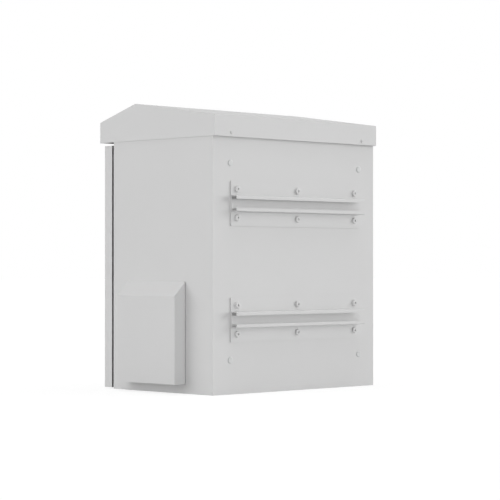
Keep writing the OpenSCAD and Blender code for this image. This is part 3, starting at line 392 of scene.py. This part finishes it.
def foam_ring(name, node, up, width, crown, corner):
    """Models a closed strip of foam that fills its CAD node: flat below, rounded above and at its corners."""
    low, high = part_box(node)
    middle = (low + high) / 2
    size = high - low
    spread = [1.0 if i == up else size[i] for i in range(3)]
    foot = [low[i] if i == up else middle[i] for i in range(3)]
    rise = [size[i] if i == up else 0.0 for i in range(3)]
    bpy.ops.object.select_all(action="DESELECT")
    bpy.ops.mesh.primitive_plane_add(size=1, rotation=(math.radians(-90) if up == 1 else 0.0, 0.0, 0.0))
    piece = bpy.context.object
    piece.name = piece.data.name = name
    bpy.ops.object.transform_apply(location=True, rotation=True, scale=True)
    bpy.ops.object.mode_set(mode="EDIT")
    bpy.ops.mesh.select_all(action="SELECT")
    bpy.ops.transform.resize(value=spread, center_override=(0.0, 0.0, 0.0))
    bpy.ops.transform.translate(value=foot)
    bpy.ops.mesh.inset(thickness=width)
    bpy.ops.mesh.delete(type="FACE")
    bpy.ops.mesh.select_all(action="SELECT")
    bpy.ops.mesh.extrude_region_move(TRANSFORM_OT_translate={"value": rise})
    select_edges(piece, lambda a, b: abs(a[up] - b[up]) > NEAR)
    bpy.ops.mesh.bevel(offset=corner, segments=CORNER_SEGMENTS, affect="EDGES")
    select_edges(piece, lambda a, b: min(a[up], b[up]) > high[up] - NEAR)
    bpy.ops.mesh.region_to_loop()
    bpy.ops.mesh.bevel(offset=crown, segments=CROWN_SEGMENTS, affect="EDGES")
    bpy.ops.mesh.select_all(action="SELECT")
    bpy.ops.mesh.normals_make_consistent(inside=False)
    bpy.ops.object.mode_set(mode="OBJECT")
    return piece


class CABINET_OT_painted_sheets(bpy.types.Operator):
    """Powder-coats the body, roof, hoods, brackets and door"""

    bl_idname = "cabinet.painted_sheets"
    bl_label = "Painted sheets"

    def execute(self, context):
        dress("paint", powder_coat(context.scene.cabinet_finishes))
        return {"FINISHED"}


class CABINET_OT_zinc_parts(bpy.types.Operator):
    """Gives the rack, supports, entry plate, hinges, cams, fan guard and fasteners their zinc finishes"""

    bl_idname = "cabinet.zinc_parts"
    bl_label = "Zinc parts"

    def execute(self, context):
        look = context.scene.cabinet_finishes
        dress("zinc_sheet", galvanised_sheet(look))
        dress("zinc_hardware", plated_steel(look))
        return {"FINISHED"}


class CABINET_OT_locks(bpy.types.Operator):
    """Gives the two quarter-turn locks their satin metal"""

    bl_idname = "cabinet.locks"
    bl_label = "Locks"

    def execute(self, context):
        dress("lock_metal", satin_casting(context.scene.cabinet_finishes))
        return {"FINISHED"}


class CABINET_OT_moulded_parts(bpy.types.Operator):
    """Gives the fan, filter frame, wall plugs and grommets their moulded finishes"""

    bl_idname = "cabinet.moulded_parts"
    bl_label = "Moulded parts"

    def execute(self, context):
        look = context.scene.cabinet_finishes
        dress("black_plastic", moulded_plastic("Moulded black PBT", look.black_plastic, look))
        dress("grey_plastic", moulded_plastic("Moulded grey polyamide", look.grey_plastic, look))
        dress("grommet_rubber", moulded_rubber(look))
        return {"FINISHED"}


class CABINET_OT_earth_terminal(bpy.types.Operator):
    """Gives the earth stud its brass"""

    bl_idname = "cabinet.earth_terminal"
    bl_label = "Earth terminal"

    def execute(self, context):
        dress("brass", turned_brass(context.scene.cabinet_finishes))
        return {"FINISHED"}


class CABINET_OT_filter_mat(bpy.types.Operator):
    """Models the lofty fleece mat in the intake filter's tray"""

    bl_idname = "cabinet.filter_mat"
    bl_label = "Filter mat"

    def execute(self, context):
        soft = context.scene.cabinet_soft_parts
        low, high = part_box("filter_mat")
        bpy.ops.object.select_all(action="DESELECT")
        bpy.ops.mesh.primitive_cube_add(size=1, location=(low + high) / 2, scale=high - low)
        mat = bpy.context.object
        mat.name = mat.data.name = "fleece_mat"
        bpy.ops.object.transform_apply(location=True, rotation=True, scale=True)
        bpy.ops.object.mode_set(mode="EDIT")
        select_edges(mat, lambda a, b: abs(a.x - b.x) < NEAR)
        bpy.ops.mesh.subdivide(number_cuts=MAT_CUTS)
        bpy.ops.object.mode_set(mode="OBJECT")
        edge = mat.modifiers.new("Edge", "BEVEL")
        edge.width = soft.mat_edge
        edge.segments = MAT_EDGE_SEGMENTS
        edge.limit_method = "ANGLE"
        edge.angle_limit = MAT_EDGE_ANGLE
        bpy.ops.object.modifier_apply(modifier=edge.name)
        tufts = bpy.data.textures.new("Tufts", "CLOUDS")
        tufts.noise_scale = soft.mat_tuft
        loft = mat.modifiers.new("Loft", "DISPLACE")
        loft.texture = tufts
        loft.texture_coords = "LOCAL"
        loft.mid_level = 1.0
        loft.strength = soft.mat_loft
        bpy.ops.object.modifier_apply(modifier=loft.name)
        stand_in(mat, "filter_mat", "cabinet", filter_fleece(context.scene.cabinet_finishes))
        return {"FINISHED"}


class CABINET_OT_foam_seals(bpy.types.Operator):
    """Models the foam bead on the door and the seal under the cable entry plate"""

    bl_idname = "cabinet.foam_seals"
    bl_label = "Foam seals"

    def execute(self, context):
        soft = context.scene.cabinet_soft_parts
        foam = poured_foam(context.scene.cabinet_finishes)
        bead = foam_ring(
            "foam_bead", "door_seal", 1,
            soft.door_seal_width, soft.door_seal_crown, soft.door_seal_corner,
        )
        stand_in(bead, "door_seal", "door", foam)
        gasket = foam_ring(
            "entry_gasket", "entry_seal", 2,
            soft.entry_seal_width, soft.entry_seal_crown, soft.entry_seal_corner,
        )
        stand_in(gasket, "entry_seal", "cabinet", foam)
        return {"FINISHED"}


class CABINET_OT_stage(bpy.types.Operator):
    """Sets the pale floor, the soft light and the camera"""

    bl_idname = "cabinet.stage"
    bl_label = "Stage"

    def execute(self, context):
        stage = context.scene.cabinet_stage
        bpy.ops.object.select_all(action="DESELECT")
        bpy.ops.mesh.primitive_plane_add(size=FLOOR_SIZE, location=(0.0, 0.0, -FLOOR_DROP))
        floor = bpy.context.object
        floor.name = "floor"
        floor.data.materials.append(self.pale_floor(stage))
        self.even_sky(context.scene, stage)
        # The lamps square to the walls give no glints, because flat metal mirrors them as plain white.
        for name, energy, direction, width, glints in (
            ("overhead", stage.overhead, (0.0, 0.0, 1.0), BROAD, True),
            ("right_side", stage.sides, (1.0, 0.0, WALL_LAMP_RISE), NARROW, False),
            ("left_side", stage.sides, (-1.0, 0.0, WALL_LAMP_RISE), NARROW, False),
            ("back", stage.back, (0.0, 1.0, WALL_LAMP_RISE), NARROW, False),
            ("front", stage.front, (0.0, -1.0, WALL_LAMP_RISE), NARROW, False),
            ("cross_back", stage.cross, (-0.84, 0.50, 0.20), MEDIUM, True),
            ("cross_front", stage.cross, (0.78, -0.62, 0.07), BROAD, True),
        ):
            turn = Vector(direction).to_track_quat("Z", "Y").to_euler()
            bpy.ops.object.light_add(type="SUN", rotation=turn)
            lamp = bpy.context.object
            lamp.name = lamp.data.name = name
            lamp.data.energy = energy
            lamp.data.angle = width
            lamp.visible_glossy = glints
        bpy.ops.object.camera_add(location=stage.camera_place, rotation=stage.camera_turn)
        camera = bpy.context.object
        camera.data.lens = stage.lens
        camera.data.sensor_width = SENSOR_WIDTH
        context.scene.camera = camera
        context.scene.view_settings.view_transform = "Standard"
        return {"FINISHED"}

    def seen(self, tree):
        """1 for rays that see the stage directly, in a mirror or through glass, and 0 for its light."""
        path = add(tree, "LightPath")
        mirrored = add(tree, "Math", {0: path.outputs["Is Camera Ray"], 1: path.outputs["Is Glossy Ray"]},
                       operation="MAXIMUM")
        return add(tree, "Math", {0: mirrored.outputs["Value"], 1: path.outputs["Is Transmission Ray"]},
                   operation="MAXIMUM").outputs["Value"]

    def pale_floor(self, stage):
        """Matt pale board that looks white, apart from a part of the shadow that the cabinet throws on it."""
        material, tree = blank("Pale floor board")
        board = add(tree, "BsdfDiffuse", {"Color": stage.floor})
        faint = add(tree, "BsdfDiffuse", {"Color": [stage.shadow * c for c in stage.floor[:3]] + [1.0]})
        white = add(tree, "Emission", {"Color": (1.0, 1.0, 1.0, 1.0), "Strength": stage.lift})
        lifted = add(tree, "AddShader", {0: faint.outputs["BSDF"], 1: white.outputs["Emission"]})
        both = add(tree, "MixShader", {
            "Fac": self.seen(tree), 1: board.outputs["BSDF"], 2: lifted.outputs["Shader"],
        })
        add(tree, "OutputMaterial", {"Surface": both.outputs["Shader"]})
        return material

    def even_sky(self, scene, stage):
        """Even white light from all round, seen as plain white."""
        world = bpy.data.worlds.new("Even sky")
        world.use_nodes = True
        tree = world.node_tree
        tree.nodes.clear()
        level = add(tree, "MapRange", {"Value": self.seen(tree), "To Min": stage.sky, "To Max": 1.0})
        sky = add(tree, "Background", {"Color": (1.0, 1.0, 1.0, 1.0), "Strength": level.outputs["Result"]})
        add(tree, "OutputWorld", {"Surface": sky.outputs["Background"]})
        scene.world = world


PIECES = (
    CABINET_OT_painted_sheets, CABINET_OT_zinc_parts, CABINET_OT_locks, CABINET_OT_moulded_parts,
    CABINET_OT_earth_terminal, CABINET_OT_filter_mat, CABINET_OT_foam_seals, CABINET_OT_stage,
)


class CABINET_PT_panel(bpy.types.Panel):
    bl_idname = "CABINET_PT_panel"
    bl_label = "Outdoor rack cabinet"
    bl_space_type = "VIEW_3D"
    bl_region_type = "UI"
    bl_category = "Cabinet"

    def draw(self, context):
        scene = context.scene
        for piece in PIECES:
            self.layout.operator(piece.bl_idname)
        for group in (scene.cabinet_finishes, scene.cabinet_soft_parts, scene.cabinet_stage):
            box = self.layout.box()
            for name in group.__annotations__:
                box.prop(group, name)


CLASSES = (CabinetFinishes, CabinetSoftParts, CabinetStage, *PIECES, CABINET_PT_panel)


def register():
    for cls in CLASSES:
        bpy.utils.register_class(cls)
    bpy.types.Scene.cabinet_finishes = PointerProperty(type=CabinetFinishes)
    bpy.types.Scene.cabinet_soft_parts = PointerProperty(type=CabinetSoftParts)
    bpy.types.Scene.cabinet_stage = PointerProperty(type=CabinetStage)


def unregister():
    del bpy.types.Scene.cabinet_stage
    del bpy.types.Scene.cabinet_soft_parts
    del bpy.types.Scene.cabinet_finishes
    for cls in reversed(CLASSES):
        bpy.utils.unregister_class(cls)


def main():
    register()
    bpy.ops.cabinet.painted_sheets()
    bpy.ops.cabinet.zinc_parts()
    bpy.ops.cabinet.locks()
    bpy.ops.cabinet.moulded_parts()
    bpy.ops.cabinet.earth_terminal()
    bpy.ops.cabinet.filter_mat()
    bpy.ops.cabinet.foam_seals()
    bpy.ops.cabinet.stage()


if __name__ == "__main__":
    main()
